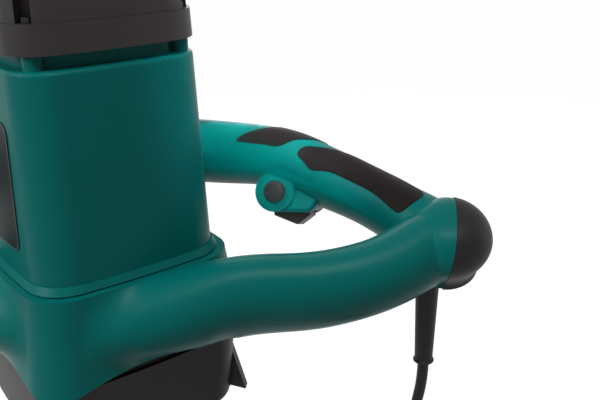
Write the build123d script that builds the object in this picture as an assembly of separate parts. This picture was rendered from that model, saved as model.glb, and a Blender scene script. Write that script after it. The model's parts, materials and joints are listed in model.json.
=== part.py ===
"""Hand-held electric mixer for paint and mortar: an upright motor on a base with a wide ring handle.

Frame: millimetres, +Z up along the output spindle, origin at the mouth of the spindle's thread.
-Y is the front, where the ring runs low. The ring rises to the rear, and the switch is on the +X side.
"""
from build123d import *
import math
import os

# Heights up the spindle axis
NOSE_LENGTH = 16.0          # spindle nose, below the gearbox
NOSE_GAP = 4.0              # between the spindle nose and the gearbox neck
NECK_LENGTH = 24.0
POT_HEIGHT = 52.0
PLATE_THICK = 7.0           # bearing plate over the gears
BASE_HEIGHT = 47.0
HOUSING_HEIGHT = 121.0      # motor housing, from the base to its shoulder
CAP_GAP = 8.0               # air outlet between the housing's shoulder and the top cap
CAP_HEIGHT = 64.0
BASE_LIP, POT_GAP = 6.0, 3.0  # shadow gap between gearbox and base, upwards and sideways

# Rounded square sections, given from the centre to the corner before it is rounded
HOUSING_TIP, HOUSING_TIP_TOP = 77.8, 73.1
HOUSING_CORNER = 24.0
SIDE_BOW = 3.0              # how far each side bows out
FOOT_TIP, FOOT_TIP_TOP = 81.3, 78.6
FOOT_HEIGHT, FOOT_GAP = 5.0, 0.9
SHOULDER_RADIUS = 2.5
COLLAR_TIP, COLLAR_CORNER = 62.0, 20.0
COLLAR_REACH = 6.0          # how far the housing's collar goes up into the cap
BASE_TIP, BASE_TIP_TOP = 94.8, 86.5
SKIRT_DROP, SKIRT_FLARE = 15.0, 2.6  # apron at the base's front corner
SKIRT_START, SKIRT_MID, SKIRT_DIP = 58.0, 77.0, 4.3
POT_TIP, POT_TIP_LOW = 91.2, 86.0
POT_CORNER, POT_EDGE = 26.0, 7.0
CAP_TIP, CAP_TIP_TOP = 73.6, 67.5
CAP_BAND, CAP_STEP = 15.5, 1.4
CAP_EDGE = 9.0
WALL = 3.2                  # moulded wall
POT_WALL, POT_FLOOR = 4.5, 8.0
DECK = 5.0                  # top deck of the base

# Clearances
CLEAR = 0.3                 # between pieces that pass each other
SEAT = 0.1                  # between pieces that stay still
FIT = 0.05                  # running clearance on a radius

# Ring handle
RING_TILT = 24.0            # the ring rises to the rear by this angle
RING_DROP = 5.0             # the ring's plane crosses the axis this far under the base top
NOSE_U, NOSE_V, NOSE_W = 214.0, 17.0, 2.6
NOSE_RADIUS, NOSE_HALF = 27.0, 23.0
NOSE_FULL = 0.75            # a little fuller than an ellipse
BUMPER_U = 215.5            # where the bumper starts on the nose
COVER_W = -12.0             # level of the joint between frame and handle covers
BUMPER_LEAN = 7.5
BUMPER_PROUD, BUMPER_THICK = 0.5, 3.5
PAD_PROUD, PAD_DEEP = 0.5, 1.8

# Gear train
AXES = 36.0                 # from the motor's axis to the layshaft's
FIRST_MODULE, FIRST_PINION, FIRST_WHEEL, FIRST_SHIFT = 1.0, 8, 64, 0.35
LAST_MODULE, LAST_PINION, LAST_WHEEL, LAST_SHIFT = 1.5, 9, 39, 0.25
PRESSURE = math.radians(25.0)
ADDENDUM, DEDENDUM = 0.85, 1.1
BACKLASH = 0.16
LAST_FACE, FIRST_FACE = 14.0, 9.0
GEAR_GAP = 2.5              # between gears, and under the lowest one
PINION_EXTRA = 1.0          # pinions stand past their wheels by this much at each end

# Shafts and bearings
NOSE_R, NOSE_FLATS, NOSE_BEVEL = 13.0, 22.0, 1.5
THREAD_R, THREAD_DEPTH = 5.92, 26.0
SPINDLE_R, SPINDLE_BEARING_R, SPINDLE_BEARING = 10.0, 21.0, 12.0
NECK_R, SEAL_THICK = 27.0, 3.0
LAYSHAFT_R, BUSH_R, BUSH_LENGTH = 5.0, 8.0, 6.0
SHAFT_R = 5.0
LOWER_BEARING_R, LOWER_BEARING = 13.0, 8.0
UPPER_BEARING_R, UPPER_BEARING = 11.0, 6.0
BEARING_LIP = 2.0
SHIELD_DEEP = 0.6

# Motor
STATOR_R, STATOR_BORE, STATOR_HEIGHT = 45.0, 24.0, 52.0
STATOR_RISE = 10.0          # stator above the base top
YOKE, POLE_WIDTH = 9.0, 40.0
ROTOR_GAP = 0.8
ROTOR_SLOTS, SLOT_WIDTH, SLOT_DEEP = 12, 2.6, 8.0
WINDING_END = 8.0
COMMUTATOR_R, COMMUTATOR_HEIGHT, BARS = 14.0, 18.0, 18
FAN_R, FAN_HEIGHT, FAN_BLADES, FAN_PLATE = 42.0, 13.0, 12, 2.5
FAN_RISE = 6.0              # fan above its bearing
MOTOR_STEP = 4.0            # spacing between commutator, winding and bearing bridge
BRUSH_WIDTH, BRUSH_HEIGHT, BRUSH_LENGTH = 8.0, 10.0, 16.0
HOLDER_LENGTH, HOLDER_WALL, HOLDER_GAP = 26.0, 1.5, 2.0
BRIDGE_THICK, BRIDGE_HUB, BRIDGE_ARM = 6.0, 12.0, 14.0
LEDGE, LEDGE_R = 5.0, 46.5

# Screws
SCREW_R, HEAD_R, HEAD = 2.0, 3.6, 3.0
BOSS_R = 5.2
POT_SCREW_Q, HOUSING_SCREW_Q, CAP_SCREW_Q = 75.0, 57.5, 59.0
SCREW_GRIP = 12.0           # thread length in the boss
WELL_WIDTH = 8.6

# Gearbox webs and side fins
WEBS = 8
FIN_X, FIN_Y, FIN_REACH, FIN_HEIGHT = 79.5, 6.0, 9.0, 36.0

# Switch pod: lock button and trigger, in a frame turned about the rear bar
POD_TURN = 45.0
POD_HALF, POD_EDGE = 12.5, 3.0
BOSS_X, BOSS_Y, POD_BOSS_R, BOSS_FACE = 5.5, -19.0, 13.5, 17.0
POD_END_X, POD_END_Y, POD_END_R = 24.5, -18.5, 10.5
BUTTON_R, BUTTON_PROUD, BUTTON_LENGTH, BUTTON_TRAVEL = 7.4, 3.2, 6.0, 3.0
BUTTON_DOME = 2.9
TRIGGER_WIDTH, TRIGGER_LENGTH, TRIGGER_TOP = 13.0, 22.0, 2.5
TRIGGER_HEEL, TRIGGER_DEEP, TRIGGER_EDGE = 3.0, 8.5, 1.2
POCKET_ROOM = 1.5           # room in front of and behind the trigger
PIVOT_X, PIVOT_Y, PIVOT_R, PIN_HALF = 7.0, -27.0, 1.6, 8.6
SWITCH_LENGTH, SWITCH_HEIGHT, SWITCH_WIDTH = 22.0, 15.0, 15.0
SWITCH_X, SWITCH_Y = 20.0, -11.0
SPRING_R, SPRING_WIRE, SPRING_TURNS = 2.6, 0.45, 4
SPRING_REACH = 15.0         # trigger spring from the pivot
SPRING_ROOM = 1.0           # left under the lock button when it is pressed

# Mains cord: the route of its hanging stretch, from the strain relief to the coil
CORD_R = 3.6
RELIEF_X, RELIEF_Y = 204.0, 11.0
RELIEF_TOP, RELIEF_END = 132.0, 71.0
RELIEF_R, RELIEF_TIP_R, RELIEF_RING_R, RELIEF_COLLAR_R = 7.4, 5.7, 6.6, 9.0
CORD_ROUTE = [(204, 11, 71), (204, 11, 56), (200.6, 10.8, 38), (199.6, 9, 17), (199.5, 2, -3),
              (199.5, -11, -18)]
BEND_SHARE = 0.45           # how much of the shorter run a bend takes
COIL_TURNS = 7.12
COIL_TAIL = 38.0            # straight end that the plug hangs on
COIL_STEP = 8.0             # spacing of neighbouring turns and of the two layers
COIL_INNER = 28.0           # radius of the innermost turn
COIL_ARCS = 29
CORD_SIDES = 6
TIE_WALL, TIE_WIDTH = 1.4, 12.0
PLUG_LENGTH = 46.0
# Stations along the plug: (distance, width, thickness)
PLUG_STATIONS = [(0, 11, 10.8), (18, 21, 15.2), (34, 34, 18), (PLUG_LENGTH, 34, 18)]
PLUG_CORNER = 0.4           # corner radius as a share of the thickness
PIN_R, PIN_LENGTH, PIN_SPACING = 2.4, 19.0, 19.0

# Levels that follow from the sizes above
NECK_Z = NOSE_LENGTH + NOSE_GAP
POT_Z = NECK_Z + NECK_LENGTH
PLATE_Z = POT_Z + POT_HEIGHT
DECK_Z = PLATE_Z + PLATE_THICK
FLANGE_Z = DECK_Z + BASE_HEIGHT
SHOULDER_Z = FLANGE_Z + HOUSING_HEIGHT
CAP_Z = SHOULDER_Z + CAP_GAP
LAST_Z = POT_Z + POT_FLOOR + GEAR_GAP
FIRST_Z = LAST_Z + LAST_FACE + GEAR_GAP
LOWER_BEARING_Z = PLATE_Z + BEARING_LIP
FAN_Z = LOWER_BEARING_Z + LOWER_BEARING + FAN_RISE
STATOR_Z = FLANGE_Z + STATOR_RISE
STATOR_TOP = STATOR_Z + STATOR_HEIGHT
COMMUTATOR_Z = STATOR_TOP + WINDING_END + MOTOR_STEP
BRUSH_Z = COMMUTATOR_Z + COMMUTATOR_HEIGHT / 2
BRIDGE_Z = COMMUTATOR_Z + COMMUTATOR_HEIGHT + MOTOR_STEP
UPPER_BEARING_Z = BRIDGE_Z + BRIDGE_HUB - UPPER_BEARING
BRUSH_START = COMMUTATOR_R - BRUSH_WIDTH / 2
HOLDER_TOP = BRUSH_Z + BRUSH_HEIGHT / 2 + HOLDER_WALL
HOLDER_X = COMMUTATOR_R + HOLDER_GAP + HOLDER_LENGTH / 2
POT_SCREW_Z = POT_Z + POT_FLOOR + GEAR_GAP
ROOT_TWO = math.sqrt(2)
PLATE_TIP = BASE_TIP - (WALL + BEARING_LIP) * ROOT_TWO
FAR = 400.0                 # reach of a cutting block

TILT = math.radians(RING_TILT)
RING = Plane(origin=(0, 0, FLANGE_Z - RING_DROP), x_dir=(1, 0, 0),
             z_dir=(0, -math.sin(TILT), math.cos(TILT)))

# Stations along each bar of the ring: (u, v, w, half width, half height) in the ring's frame
FRONT_BAR = [(0, -58, 0, 26, 25), (48, -47, 0, 24, 24.5), (95, -31, 0.2, 21, 27),
             (140, -22, -1.7, 20.5, 25.6), (176, -8, -0.9, 20.5, 24.2), (205, 14, 0.8, 21, 23.6),
             (215, 21.5, 2.4, 17, 18)]
REAR_BAR = [(0, 98, 0.2, 16.5, 24.8), (50, 95.5, 0.4, 17, 25.5), (104, 85, 5.5, 18, 21.8),
            (138, 71, 1.1, 18, 22.4), (168, 54, 0.2, 18, 20.2), (203, 27, 1.7, 19, 21.5)]
SPLIT = 3                   # sections from one station to the next
SWITCH_STATION = 2
HOLLOW_U = 140.0            # the bars are hollow from here outwards
COVER_U = REAR_BAR[SWITCH_STATION][0] - POD_END_R  # the covers start inboard of the switch pod
COVER_SCREWS = [(152, -18), (156, 61)]

# Soft pads on the rear bar, as outlines seen along the ring's normal
TOP_PAD = [(77, 81), (85, 79.2), (96, 77.1), (104.5, 75.4), (109, 76.2), (115, 79.2), (125, 81.5), (134, 86),
           (138, 89), (128, 95), (114, 98), (103, 94), (94, 89.5), (84.5, 86)]
FRONT_PAD = [(118.6, 71), (121, 73.3), (131, 75.2), (141, 75.5), (151, 75.5), (163, 73), (175, 66), (186, 56),
             (195, 46), (199.5, 36.5), (196, 31.2), (190, 26.7), (185.6, 25.2), (181.8, 27.6), (175.5, 34.4),
             (165.6, 43.8), (152.2, 52.3), (136.5, 59.1), (126, 62.3), (122.4, 65.8)]


def mirrored(shape):
    """The same piece on the other side of the machine."""
    return mirror(shape, about=Plane.YZ)


def cyl(radius, low, high, x=0.0, y=0.0):
    """A round bar along Z between two heights."""
    return Pos(x, y, low) * Cylinder(radius, high - low, align=(Align.CENTER, Align.CENTER, Align.MIN))


def tube(outer, inner, low, high, x=0.0, y=0.0):
    """A round tube along Z between two heights."""
    return cyl(outer, low, high, x, y) - cyl(inner, low, high, x, y)


def block(length, width, low, high, x=0.0, y=0.0):
    """An upright block between two heights."""
    return Pos(x, y, low) * Box(length, width, high - low, align=(Align.CENTER, Align.CENTER, Align.MIN))


def corners(distance):
    """The four corners of the square sections, at a distance from the axis."""
    return [(distance, 0), (0, distance), (-distance, 0), (0, -distance)]


def diamond(tip, corner):
    """A rounded square with bowed sides and a corner to the front."""
    mid = tip / 2 + SIDE_BOW / ROOT_TWO
    tips = corners(tip)
    mids = [(mid, mid), (-mid, mid), (-mid, -mid), (mid, -mid)]
    sides = [ThreePointArc(tips[i], mids[i], tips[(i + 1) % 4]) for i in range(4)]
    face = make_face(sides)
    return fillet(face.vertices(), corner)


def pillar(low_tip, high_tip, low, high, corner):
    """A drafted column between two rounded squares."""
    foot = Pos(0, 0, low) * diamond(low_tip, corner)
    head = Pos(0, 0, high) * diamond(high_tip, corner)
    return loft([foot, head], ruled=True)


def inset(tip, wall):
    """The corner of a section that lies a wall's thickness inside another."""
    return tip - wall * ROOT_TWO


def screw(x, y, low, high, up=True):
    """A screw along Z between two heights, with its head at the lower end when it points up."""
    if up:
        return cyl(SCREW_R, low, high, x, y) + cyl(HEAD_R, low, low + HEAD, x, y)
    return cyl(SCREW_R, low, high, x, y) + cyl(HEAD_R, high - HEAD, high, x, y)


def bearing(outer, inner, width, low):
    """A sealed ball bearing: two rings with the seals set back between them."""
    ring = tube(outer - SEAT, inner + FIT, low, low + width)
    shield_out, shield_in = outer - (outer - inner) / 4, inner + (outer - inner) / 4
    for face in (low, low + width - SHIELD_DEEP):
        ring -= tube(shield_out, shield_in, face, face + SHIELD_DEEP)
    return ring


# Ring handle

def station_plane(stations, i):
    """The plane across a bar at one of its stations."""
    before = stations[max(i - 1, 0)]
    after = stations[min(i + 1, len(stations) - 1)]
    du, dv, dw = (after[axis] - before[axis] for axis in range(3))
    if stations[i][0] == 0:
        dv, dw = 0.0, 0.0
    along = RING.x_dir * du + RING.y_dir * dv + RING.z_dir * dw
    across = RING.x_dir * -dv + RING.y_dir * du
    return Plane(origin=ring_point(*stations[i][:3]), x_dir=across, z_dir=along)


def ring_point(u, v, w=0.0):
    """A point given in the ring's own frame."""
    return RING.from_local_coords(Vector(u, v, w))


def finer(stations):
    """More stations between those given, on smooth curves that run level across the middle."""
    middle = (-stations[1][0], *stations[1][1:])
    beyond = [2 * last - earlier for earlier, last in zip(stations[-2], stations[-1])]
    points = [middle, *stations, beyond]
    fine = []
    for span in zip(points, points[1:], points[2:], points[3:]):
        for share in (step / SPLIT for step in range(SPLIT)):
            fine.append([b + share * ((c - a) + share * ((2 * a - 5 * b + 4 * c - d)
                                                         + share * (3 * b - a - 3 * c + d))) / 2
                         for a, b, c, d in zip(*span)])
    return [*fine, stations[-1]]


def bar(stations, grow=0.0):
    """A bar of the ring, swollen by grow on all sides."""
    fine = finer(stations)
    sections = [
        station_plane(fine, i) * Ellipse(fine[i][3] + grow, fine[i][4] + grow)
        for i in range(len(fine))
    ]
    return loft(sections)


def nose(grow=0.0):
    """The rounded end of the ring, turned about the ring's normal."""
    radius, half = NOSE_RADIUS + grow, NOSE_HALF + grow
    points = [(0, half), (radius * NOSE_FULL, half * NOSE_FULL), (radius, 0),
              (radius * NOSE_FULL, -half * NOSE_FULL), (0, -half)]
    side = Spline(*points, tangents=[(1, 0), (-1, 0)])
    profile = make_face([side, Line((0, -half), (0, half))])
    seat = Plane(origin=ring_point(NOSE_U, NOSE_V, NOSE_W), x_dir=RING.x_dir, z_dir=-RING.y_dir)
    return revolve(seat * profile, Axis(seat.origin, RING.z_dir), 360)


def ring_block(u_low, u_high, w_low, w_high):
    """A block across the ring, in the ring's own frame."""
    body = Box(u_high - u_low, 2 * FAR, w_high - w_low)
    return RING * Pos((u_low + u_high) / 2, 0, (w_low + w_high) / 2) * body


def beyond_bumper(shift=0.0):
    """The space past the leaning plane where the bumper starts."""
    seat = Plane(origin=ring_point(BUMPER_U + shift, NOSE_V), x_dir=RING.y_dir, z_dir=RING.x_dir)
    return seat * Rot(BUMPER_LEAN, 0, 0) * Box(FAR, FAR, FAR, align=(Align.CENTER, Align.CENTER, Align.MIN))


def bumper_shell(gap=0.0):
    """The rubber end cap over the nose, with room around it when gap is given."""
    return (nose(BUMPER_PROUD + gap) - nose(-BUMPER_THICK - gap)) & beyond_bumper(-gap)


def pad(outline, gap=0.0):
    """A soft pad let into the rear bar."""
    face = make_face(Spline(*outline, periodic=True))
    prism = RING * extrude(face, FAR / 4, dir=(0, 0, 1))
    proud = bar(REAR_BAR, PAD_PROUD + gap) + nose(PAD_PROUD + gap)
    core = bar(REAR_BAR, -PAD_DEEP - gap) + nose(-PAD_DEEP - gap)
    return (proud & prism) - core


def arm():
    """The right half of the ring, solid."""
    return bar(FRONT_BAR) + nose() + bar(REAR_BAR)


def arm_hollow():
    """The space inside the right half of the ring."""
    bars = bar(FRONT_BAR, -WALL) + bar(REAR_BAR, -WALL)
    return (bars & ring_block(HOLLOW_U, FAR, -FAR / 2, FAR / 2)) + nose(-WALL - BUMPER_THICK)


# Switch pod on the right half of the rear bar

def pod_plane():
    """The pod's frame: x along the bar, z towards the thumb, y up into the bar."""
    across = station_plane(REAR_BAR, SWITCH_STATION)
    turn = math.radians(POD_TURN)
    thumb = across.y_dir * math.cos(turn) - across.x_dir * math.sin(turn)
    return Plane(origin=ring_point(*REAR_BAR[SWITCH_STATION][:2]), x_dir=across.z_dir, z_dir=thumb)


POD = pod_plane()


def pod_prism(sketch, low, high):
    """A sketch in the pod's plane, raised between two levels."""
    return POD * Pos(0, 0, low) * extrude(sketch, high - low, dir=(0, 0, 1))


def pod_disc(radius, low, high, x=BOSS_X, y=BOSS_Y):
    """A disc facing the thumb, by default on the lock button's axis."""
    return pod_prism(Pos(x, y) * Circle(radius), low, high)


def pod_solid():
    """The swelling under the rear bar that carries button and trigger."""
    outline = make_hull((Pos(BOSS_X, BOSS_Y) * Circle(POD_BOSS_R)).edges()
                        + (Pos(POD_END_X, POD_END_Y) * Circle(POD_END_R)).edges()
                        + (Pos(POD_END_X / 2, 0) * Circle(POD_END_R)).edges())
    body = POD * Pos(0, 0, -POD_HALF) * extrude(outline, 2 * POD_HALF, dir=(0, 0, 1))
    body = fillet(body.edges().filter_by(lambda e: e.length > POD_END_R), POD_EDGE)
    return body + pod_disc(POD_BOSS_R, 0, BOSS_FACE)


def trigger_profile():
    """The trigger's side view, from its pivot to the fingertip end."""
    low, heel, tip = POD_END_Y - POD_END_R, PIVOT_X - TRIGGER_HEEL, PIVOT_X + TRIGGER_LENGTH
    points = [(heel, PIVOT_Y + TRIGGER_TOP), (tip, PIVOT_Y + TRIGGER_TOP), (tip + POCKET_ROOM, low),
              (tip - 2 * TRIGGER_HEEL, low - TRIGGER_DEEP), (heel + POCKET_ROOM, low - 2 * TRIGGER_HEEL),
              (heel, PIVOT_Y - TRIGGER_HEEL)]
    face = make_face(Polyline(*points, close=True))
    return fillet(face.vertices(), TRIGGER_EDGE)


def trigger():
    """The finger trigger, hinged on its pin at the end near the motor."""
    body = pod_prism(trigger_profile(), -TRIGGER_WIDTH / 2, TRIGGER_WIDTH / 2)
    return body - pod_disc(PIVOT_R + FIT, -TRIGGER_WIDTH, TRIGGER_WIDTH, PIVOT_X, PIVOT_Y)


def trigger_pocket():
    """The slot that the trigger swings in, open at the bottom."""
    high = SWITCH_Y - SWITCH_HEIGHT / 2
    low = BOSS_Y - 3 * POD_BOSS_R
    left = PIVOT_X - TRIGGER_HEEL - POCKET_ROOM
    right = PIVOT_X + TRIGGER_LENGTH + 2 * POCKET_ROOM
    sketch = Pos((left + right) / 2, (low + high) / 2) * Rectangle(right - left, high - low)
    return pod_prism(sketch, -TRIGGER_WIDTH / 2 - CLEAR, TRIGGER_WIDTH / 2 + CLEAR)


def switch_block(gap=0.0):
    """The switch that the trigger works, sunk in the bar."""
    sketch = Pos(SWITCH_X, SWITCH_Y) * Rectangle(SWITCH_LENGTH + 2 * gap, SWITCH_HEIGHT + 2 * gap)
    return pod_prism(sketch, -SWITCH_WIDTH / 2 - gap, SWITCH_WIDTH / 2 + gap)


def lock_button():
    """The domed button that locks the trigger, on a stem."""
    low = BOSS_FACE + BUTTON_PROUD - BUTTON_LENGTH
    head = pod_disc(BUTTON_R, low, BOSS_FACE + BUTTON_PROUD)
    rim = head.edges().sort_by(Axis(POD.origin, POD.z_dir))[-1]
    return fillet(rim, BUTTON_DOME)


def button_bore():
    """The well that the lock button slides in."""
    low = BOSS_FACE + BUTTON_PROUD - BUTTON_LENGTH - BUTTON_TRAVEL - 2 * SPRING_WIRE - SPRING_ROOM
    return pod_disc(BUTTON_R + CLEAR, low, BOSS_FACE + BUTTON_LENGTH)


def pod_cuts():
    """Everything that is cut out of the bar for the switch parts."""
    pin = pod_disc(PIVOT_R, -PIN_HALF, PIN_HALF, PIVOT_X, PIVOT_Y)
    return [trigger_pocket(), switch_block(SEAT), button_bore(), pin]


# Mouldings

def column(u, v, radius, low, high):
    """A round bar along the ring's normal."""
    return RING * cyl(radius, low, high, u, v)


def shelled_arm(with_pod):
    """The right half of the ring with its inside, before it is parted into frame and cover."""
    solid = arm() + pod_solid() if with_pod else arm()
    body = solid - arm_hollow()
    for u, v in COVER_SCREWS:
        body += column(u, v, BOSS_R, -FAR / 4, FAR / 4) & solid
        body -= column(u, v, SCREW_R + SEAT, -FAR / 4, COVER_W + SCREW_GRIP)
        body -= column(u, v, HEAD_R + CLEAR, -FAR / 4, COVER_W - WALL)
    body -= bumper_shell(SEAT)
    if with_pod:
        for cut in pod_cuts():
            body -= cut
    return body


def under_joint(gap=0.0):
    """The space under the joint between frame and right cover."""
    return ring_block(COVER_U + gap, FAR, -FAR / 2, COVER_W - gap)


def pot_room():
    """The gearbox with the shadow gap around it, and the seat of the gear plate."""
    room = pillar(POT_TIP_LOW + POT_GAP, POT_TIP + POT_GAP, POT_Z, PLATE_Z + BASE_LIP, POT_CORNER)
    return room + pillar(PLATE_TIP + SEAT, PLATE_TIP + SEAT, PLATE_Z, DECK_Z, POT_CORNER)


def skirt():
    """The apron that hangs from the base's front corner over the gearbox."""
    high = PLATE_Z + BASE_LIP
    low = high - SKIRT_DROP
    front = BASE_TIP + SKIRT_FLARE
    edge = ThreePointArc((-SKIRT_START, high), (-SKIRT_MID, high - SKIRT_DIP), (-front, low))
    rise = Polyline((-front, low), (-front, high), (-SKIRT_START, high))
    prism = extrude(Plane.YZ * make_face([edge, *rise.edges()]), FAR / 4, both=True)
    return pillar(front, BASE_TIP, low, high, HOUSING_CORNER) & prism


def handle_frame(right_arm, left_arm):
    """Base and upper ring in one moulding, with the fan chamber inside the base."""
    body = pillar(BASE_TIP, BASE_TIP_TOP, PLATE_Z + BASE_LIP, FLANGE_Z, HOUSING_CORNER) + skirt()
    body += right_arm - under_joint()
    body += mirrored(left_arm - under_joint())
    body -= pot_room()
    chamber_wall = WALL + DECK
    chamber = pillar(inset(BASE_TIP, chamber_wall), inset(BASE_TIP_TOP, chamber_wall), DECK_Z,
                     FLANGE_Z - DECK, HOUSING_CORNER - WALL)
    for x, y in corners(POT_SCREW_Q):
        chamber -= cyl(BOSS_R, DECK_Z, DECK_Z + SCREW_GRIP + WALL, x, y)
    body -= chamber
    body -= cyl(STATOR_R + CLEAR, DECK_Z, FLANGE_Z)
    for x, y in corners(POT_SCREW_Q):
        body -= cyl(SCREW_R + SEAT, DECK_Z, DECK_Z + SCREW_GRIP, x, y)
    for x, y in corners(HOUSING_SCREW_Q):
        body -= cyl(SCREW_R + SEAT, FLANGE_Z - DECK, FLANGE_Z, x, y)
    for outline in (TOP_PAD, FRONT_PAD):
        cut = pad(outline, SEAT)
        body -= cut
        body -= mirrored(cut)
    return body.solids().sort_by(SortBy.VOLUME)[-1]


def handle_cover(shell):
    """The lower half of the ring outside the base, screwed to the frame."""
    return shell & under_joint(SEAT)


def relief_hole():
    """Where the strain relief leaves the right cover."""
    collar = cyl(RELIEF_COLLAR_R + CLEAR, RELIEF_TOP - SEAT, RELIEF_TOP + RELIEF_R, RELIEF_X, RELIEF_Y)
    return collar + cyl(RELIEF_R + SEAT, RELIEF_END, RELIEF_TOP, RELIEF_X, RELIEF_Y)


def motor_housing():
    """The upright motor housing: a drafted shell with a foot, a collar for the cap and motor seats."""
    outer = pillar(HOUSING_TIP, HOUSING_TIP_TOP, FLANGE_Z, SHOULDER_Z, HOUSING_CORNER)
    outer = fillet(outer.faces().sort_by(Axis.Z)[-1].edges(), SHOULDER_RADIUS)
    outer += pillar(FOOT_TIP, FOOT_TIP_TOP, FLANGE_Z + FOOT_GAP, FLANGE_Z + FOOT_HEIGHT, HOUSING_CORNER)
    outer += pillar(COLLAR_TIP, COLLAR_TIP, SHOULDER_Z - WALL, CAP_Z + COLLAR_REACH, COLLAR_CORNER)
    room = pillar(inset(HOUSING_TIP, WALL), inset(HOUSING_TIP_TOP, WALL), FLANGE_Z, SHOULDER_Z - WALL,
                  HOUSING_CORNER - WALL)
    hollow = room
    seat_height = STATOR_HEIGHT / 4
    seat_r = HOUSING_TIP / ROOT_TWO + SIDE_BOW
    for low in (STATOR_Z, STATOR_TOP - seat_height):
        hollow -= tube(seat_r, STATOR_R + SEAT, low, low + seat_height)
    hollow -= tube(seat_r, LEDGE_R, BRIDGE_Z - LEDGE, BRIDGE_Z)
    for x, y in corners(HOUSING_SCREW_Q):
        hollow -= cyl(BOSS_R, FLANGE_Z, FLANGE_Z + SCREW_GRIP + WALL, x, y)
    for x, y in corners(CAP_SCREW_Q):
        hollow -= cyl(BOSS_R, SHOULDER_Z - SCREW_GRIP - WALL, SHOULDER_Z, x, y)
        outer += cyl(BOSS_R, SHOULDER_Z - WALL, CAP_Z, x, y)
    body = outer - hollow
    body -= pillar(inset(COLLAR_TIP, WALL), inset(COLLAR_TIP, WALL), SHOULDER_Z - WALL, CAP_Z + COLLAR_REACH,
                   COLLAR_CORNER - WALL)
    for x, y in corners(HOUSING_SCREW_Q):
        body -= cyl(SCREW_R + SEAT, FLANGE_Z, FLANGE_Z + SCREW_GRIP, x, y)
    for x, y in corners(CAP_SCREW_Q):
        body -= cyl(SCREW_R + SEAT, SHOULDER_Z - SCREW_GRIP, CAP_Z, x, y)
        body -= cyl(BOSS_R + CLEAR, CAP_Z, CAP_Z + COLLAR_REACH, x, y)
    return body


def top_cap():
    """The motor's end cap: a raised band at its rim, and screw wells down its corners."""
    crown = CAP_Z + CAP_HEIGHT
    outer = pillar(CAP_TIP - CAP_STEP, CAP_TIP_TOP, CAP_Z, crown, HOUSING_CORNER)
    outer = fillet(outer.faces().sort_by(Axis.Z)[-1].edges(), CAP_EDGE)
    outer += pillar(CAP_TIP, CAP_TIP - CAP_STEP / 2, CAP_Z, CAP_Z + CAP_BAND, HOUSING_CORNER)
    hollow = pillar(inset(CAP_TIP - CAP_STEP, WALL), inset(CAP_TIP_TOP, WALL), CAP_Z, crown - WALL,
                    HOUSING_CORNER - WALL)
    hollow = fillet(hollow.faces().sort_by(Axis.Z)[-1].edges(), CAP_EDGE - WALL)
    wells = []
    for i, (x, y) in enumerate(corners(CAP_SCREW_Q)):
        hollow -= cyl(BOSS_R, CAP_Z, CAP_Z + CAP_BAND, x, y)
        turn = Rot(0, 0, 90 * i)
        hollow -= turn * block(FAR, WELL_WIDTH + 2 * WALL, CAP_Z + CAP_BAND - WALL, crown,
                               CAP_SCREW_Q - WELL_WIDTH / 2 - WALL + FAR / 2)
        well = block(FAR, WELL_WIDTH, CAP_Z + CAP_BAND, crown + FAR, CAP_SCREW_Q - WELL_WIDTH / 2 + FAR / 2)
        wells.append(turn * well)
    body = outer - hollow
    for well in wells:
        body -= well
    for x, y in corners(CAP_SCREW_Q):
        body -= cyl(SCREW_R + SEAT, CAP_Z, CAP_Z + CAP_BAND, x, y)
    return body


def gearbox_housing():
    """The gear pot with the spindle's neck under it, webs round the neck and a fin at each side."""
    outer = pillar(POT_TIP_LOW, POT_TIP, POT_Z, PLATE_Z, POT_CORNER)
    outer = fillet(outer.faces().sort_by(Axis.Z)[0].edges(), POT_EDGE)
    outer += cyl(NECK_R, NECK_Z, POT_Z + POT_FLOOR)
    web = Plane.XZ * make_face(Polyline((NECK_R - WALL, POT_Z + WALL), (NECK_R + NECK_LENGTH, POT_Z + WALL),
                                        (NECK_R - WALL, NECK_Z + WALL), close=True))
    web = extrude(web, WALL / 2, both=True)
    for i in range(WEBS):
        outer += Rot(0, 0, 360 / WEBS * (i + 0.5)) * web
    root = FIN_X - FIN_REACH
    crest = POT_Z + FIN_HEIGHT
    side = Polyline((root, crest), (FIN_X, crest), (FIN_X + FIN_REACH, POT_Z + WALL),
                    (root, POT_Z + POT_EDGE), close=True)
    fin = Plane.XZ.offset(-FIN_Y) * make_face(side)
    fin = extrude(fin, WALL, both=True)
    outer += fin
    outer += mirrored(fin)
    hollow = pillar(inset(POT_TIP_LOW, POT_WALL), inset(POT_TIP, POT_WALL), POT_Z + POT_FLOOR, PLATE_Z,
                    POT_CORNER - POT_WALL)
    for x, y in corners(POT_SCREW_Q):
        hollow -= cyl(BOSS_R, POT_Z, PLATE_Z, x, y)
    body = outer - hollow
    body -= cyl(SPINDLE_BEARING_R, NECK_Z, PLATE_Z)
    body -= cyl(BUSH_R, POT_Z + POT_FLOOR - BUSH_LENGTH, PLATE_Z, 0, AXES)
    for x, y in corners(POT_SCREW_Q):
        body -= cyl(SCREW_R + SEAT, POT_Z, PLATE_Z, x, y)
        body -= cyl(HEAD_R + CLEAR, 0, POT_SCREW_Z + HEAD, x, y)
    return body


def gear_plate():
    """The bearing plate between the gears and the fan."""
    body = pillar(PLATE_TIP, PLATE_TIP, PLATE_Z, DECK_Z, POT_CORNER)
    body += cyl(LOWER_BEARING_R + WALL, PLATE_Z, LOWER_BEARING_Z + LOWER_BEARING)
    body -= cyl(LOWER_BEARING_R, LOWER_BEARING_Z, FLANGE_Z)
    body -= cyl(LOWER_BEARING_R - BEARING_LIP, PLATE_Z, FLANGE_Z)
    body -= cyl(BUSH_R, PLATE_Z, DECK_Z - BEARING_LIP, 0, AXES)
    for x, y in corners(POT_SCREW_Q):
        body -= cyl(SCREW_R + SEAT, PLATE_Z, DECK_Z, x, y)
    return body


# Gears and shafts

def involute(angle):
    """The involute function of an angle."""
    return math.tan(angle) - angle


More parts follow.
